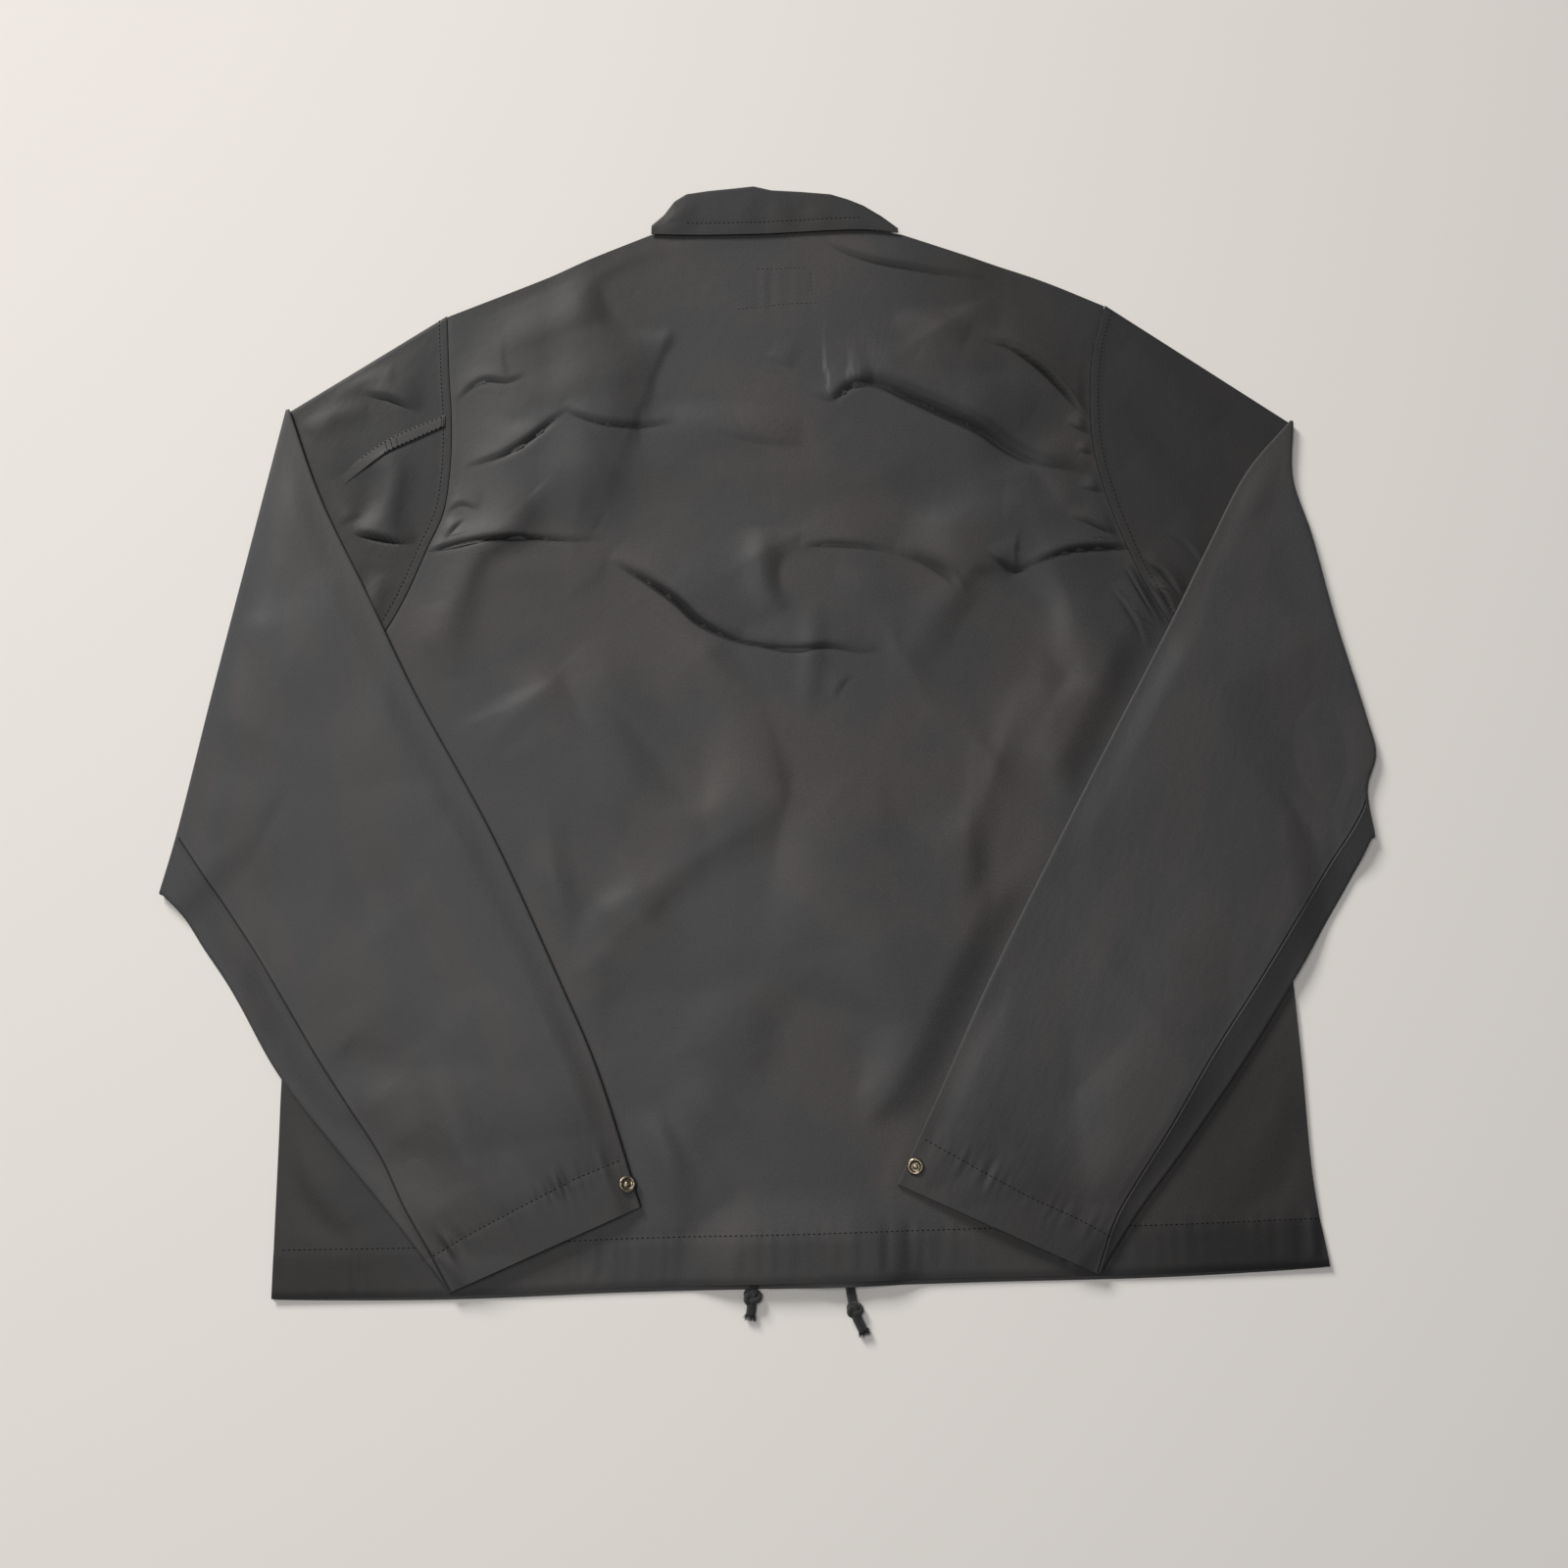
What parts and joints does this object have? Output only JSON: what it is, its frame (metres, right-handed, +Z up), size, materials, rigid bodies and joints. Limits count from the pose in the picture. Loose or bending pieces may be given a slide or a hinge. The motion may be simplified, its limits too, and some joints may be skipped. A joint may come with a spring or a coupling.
{
  "type": "coach jacket",
  "caption": "Lightweight nylon coach jacket with a shirt collar, snap cuffs and a drawcord hem, laid face down with both sleeves folded over its back",
  "frame": {"origin": "on the floor, under the middle of the jacket's outline, drawcord ends left out", "axes": "+Z up from the floor through the layers of cloth, +Y from the hem toward the collar, +X across the back toward the wearer's right side, which is to the right as seen from above"},
  "size_m": [0.7432, 0.7352, 0.0082],
  "materials": {
    "body_cloth": "black plain-weave nylon taffeta with a soft broad sheen, slightly warm",
    "sleeve_cloth": "the same black nylon taffeta",
    "collar_cloth": "the same black nylon taffeta, two layers, topstitched",
    "snap_metal": "antique brass ring snap, dark in its recesses",
    "cord": "black braided cotton drawcord, matt"
  },
  "bodies": {
    "root": {"back": "body_cloth", "collar": "collar_cloth", "collar_leaf_left": "collar_cloth", "collar_leaf_right": "collar_cloth", "cuff_snap_left": "snap_metal", "cuff_snap_right": "snap_metal", "drawcord_left": "cord", "drawcord_right": "cord", "front_left": "body_cloth", "front_right": "body_cloth", "front_snap_1": "snap_metal", "front_snap_2": "snap_metal", "front_snap_3": "snap_metal", "front_snap_4": "snap_metal", "front_snap_5": "snap_metal", "sleeve_left": "sleeve_cloth", "sleeve_right": "sleeve_cloth", "sleeve_welt": "sleeve_cloth"}
  },
  "joints": []
}
